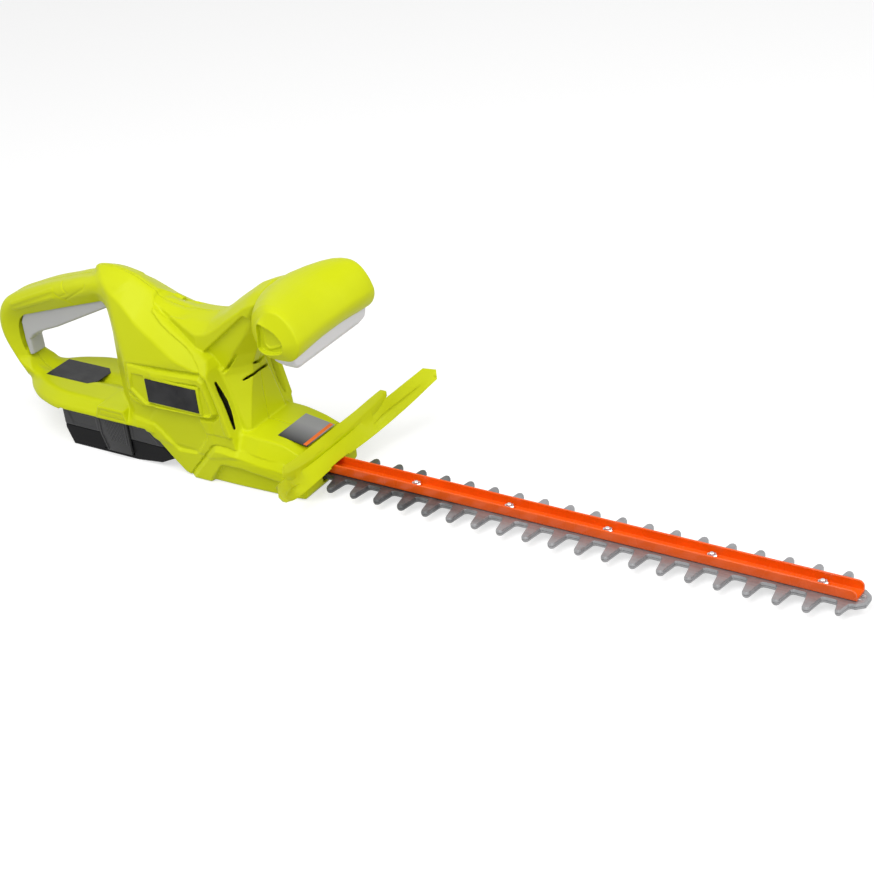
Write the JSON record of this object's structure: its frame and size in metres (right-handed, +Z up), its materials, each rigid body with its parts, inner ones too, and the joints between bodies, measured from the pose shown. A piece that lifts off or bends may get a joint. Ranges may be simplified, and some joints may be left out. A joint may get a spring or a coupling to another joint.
{
  "type": "hedge trimmer",
  "caption": "Cordless hedge trimmer with a D-shaped rear grip, front handle with a hand lever, winged guard, slide-in battery and a double-sided bar with reciprocating toothed blades.",
  "frame": {"origin": "bottom centre of the whole trimmer's box, on the plane it rests on", "axes": "+X from the rear grip to the bar's end, +Z up, +Y to the left of someone holding it"},
  "size_m": [0.774, 0.216, 0.175],
  "materials": {
    "lime": "satin moulded lime-yellow plastic",
    "trigger_grey": "matt mid-grey plastic",
    "paddle_grey": "matt light-grey plastic",
    "battery_dark": "dark-grey plastic",
    "battery_black": "black plastic",
    "label": "bare black plate",
    "orange_steel": "orange-red enamel",
    "blade_steel": "ground steel",
    "zinc": "bright zinc plate",
    "steel": "plain steel",
    "cast_alloy": "die-cast, unpainted",
    "cell_wrap": "shrink-wrapped cell",
    "board": "green circuit board",
    "copper": "copper alloy",
    "switch_black": "black plastic"
  },
  "bodies": {
    "tool": {"hand_guard": "lime", "front_handle": "lime", "housing_right": "lime", "housing_left": "lime", "badge_right": "label", "badge_left": "label", "rear_label": "label", "front_label": "label", "blade_support": "orange_steel", "blade_bolt_1": "zinc", "blade_bolt_2": "zinc", "blade_bolt_3": "zinc", "blade_bolt_4": "zinc", "blade_bolt_5": "zinc", "blade_nut_1": "zinc", "blade_nut_2": "zinc", "blade_nut_3": "zinc", "blade_nut_4": "zinc", "blade_nut_5": "zinc", "housing_screw_1": "zinc", "housing_screw_2": "zinc", "housing_screw_3": "zinc", "housing_screw_4": "zinc", "housing_screw_5": "zinc", "housing_screw_6": "zinc", "front_paddle_spring": "zinc", "trigger_spring": "zinc", "gear_pin": "steel", "motor_can": "steel", "motor_bearing": "steel", "trigger_pin": "steel", "gear_case": "cast_alloy", "bottom_cover": "cast_alloy", "controller_board": "board", "gear_bush": "copper", "front_switch": "switch_black", "rear_switch": "switch_black", "terminal_block": "switch_black"},
    "trigger": {"rear_trigger": "trigger_grey"},
    "paddle": {"front_paddle": "paddle_grey"},
    "battery": {"battery_top": "battery_dark", "battery_base": "battery_black", "cell_1": "cell_wrap", "cell_2": "cell_wrap", "cell_3": "cell_wrap", "cell_4": "cell_wrap", "cell_5": "cell_wrap", "battery_contacts": "copper"},
    "latch_right": {"battery_latch_right": "battery_dark"},
    "latch_left": {"battery_latch_left": "battery_dark"},
    "upper_blade": {"upper_blade": "blade_steel"},
    "lower_blade": {"lower_blade": "blade_steel"},
    "gear": {"drive_gear": "steel"},
    "rotor": {"pinion": "steel", "motor_rotor": "copper", "cooling_fan": "switch_black"}
  },
  "joints": [
    {"name": "gear_spin", "type": "hinge", "parent": "tool", "child": "gear", "pos_m": [-0.12387, 0, 0.014], "axis": [0, 0, 1], "range_deg": [-90, 90]},
    {"name": "rotor_spin", "type": "hinge", "parent": "tool", "child": "rotor", "pos_m": [-0.152, 0, 0.049], "axis": [0, 0, 1], "range_deg": [-360, 360]},
    {"name": "upper_blade_slide", "type": "slide", "parent": "tool", "child": "upper_blade", "axis": [1, 0, 0], "range_m": [-0.00551, 0.00551]},
    {"name": "lower_blade_slide", "type": "slide", "parent": "tool", "child": "lower_blade", "axis": [1, 0, 0], "range_m": [-0.00551, 0.00551]},
    {"name": "trigger_pull", "type": "hinge", "parent": "tool", "child": "trigger", "pos_m": [-0.265, 0, 0.131], "axis": [0, 1, 0], "range_deg": [0, 3], "stiffness_Nm_per_rad": 1.5, "springref_deg": -2.86, "deforming": ["trigger_spring"]},
    {"name": "lever_press", "type": "slide", "parent": "tool", "child": "paddle", "axis": [0, 0, 1], "range_m": [0, 0.004], "stiffness_N_per_m": 300, "springref_m": -0.003, "deforming": ["front_paddle_spring"]},
    {"name": "battery_release", "type": "slide", "parent": "tool", "child": "battery", "axis": [0, 0, -1], "range_m": [0, 0.08]},
    {"name": "latch_right_press", "type": "slide", "parent": "battery", "child": "latch_right", "axis": [0, 1, 0], "range_m": [0, 0.002], "stiffness_N_per_m": 800, "springref_m": -0.002},
    {"name": "latch_left_press", "type": "slide", "parent": "battery", "child": "latch_left", "axis": [0, -1, 0], "range_m": [0, 0.002], "stiffness_N_per_m": 800, "springref_m": -0.002}
  ],
  "couplings": [
    {"joint": "rotor_spin", "follows": "gear_spin", "ratio": -4},
    {"joint": "upper_blade_slide", "follows": "gear_spin", "m_per_rad": 0.0035014},
    {"joint": "lower_blade_slide", "follows": "gear_spin", "m_per_rad": -0.0035014}
  ]
}
